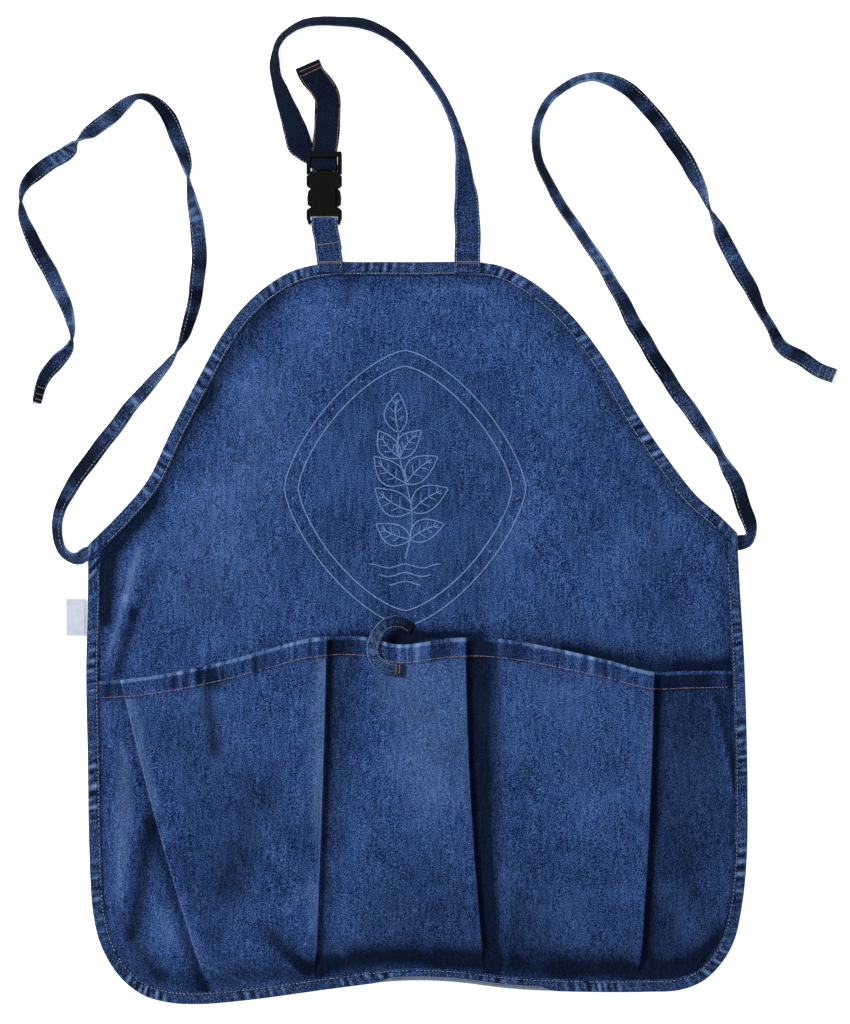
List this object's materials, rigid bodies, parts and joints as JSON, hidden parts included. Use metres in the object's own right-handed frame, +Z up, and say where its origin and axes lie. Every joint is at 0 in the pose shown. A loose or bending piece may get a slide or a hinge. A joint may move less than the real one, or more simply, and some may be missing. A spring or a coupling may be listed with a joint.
{
  "type": "denim gardening apron with pleated pockets",
  "caption": "Denim bib apron lying flat, with a bound edge, pleated pockets, a tool loop, waist ties and a neck strap with a side release buckle",
  "frame": {"origin": "on the table under the middle of the apron and its neck strap, the loose ties left out", "axes": "+Z up from the table towards the apron's outer face, +Y from the hem to the bib, +X to the right as the apron is seen from its outer face"},
  "size_m": [0.7587, 0.9164, 0.0239],
  "materials": {
    "denim": "mid indigo denim twill, washed, with pale worn edges",
    "tape": "indigo denim tape, stitched and slightly puckered",
    "strap": "darker indigo denim strap with tan edge stitching",
    "buckle": "black moulded plastic, satin",
    "label": "smooth white satin label cloth, bare"
  },
  "bodies": {
    "root": {"apron_panel": "denim", "top_binding": "tape", "side_binding": "tape", "pocket_panel": "denim", "tool_loop": "tape", "left_tie": "tape", "right_tie": "tape", "neck_strap": "strap", "buckle_strap": "strap", "buckle_plug": "buckle", "buckle_socket": "buckle", "care_label": "label"}
  },
  "joints": []
}
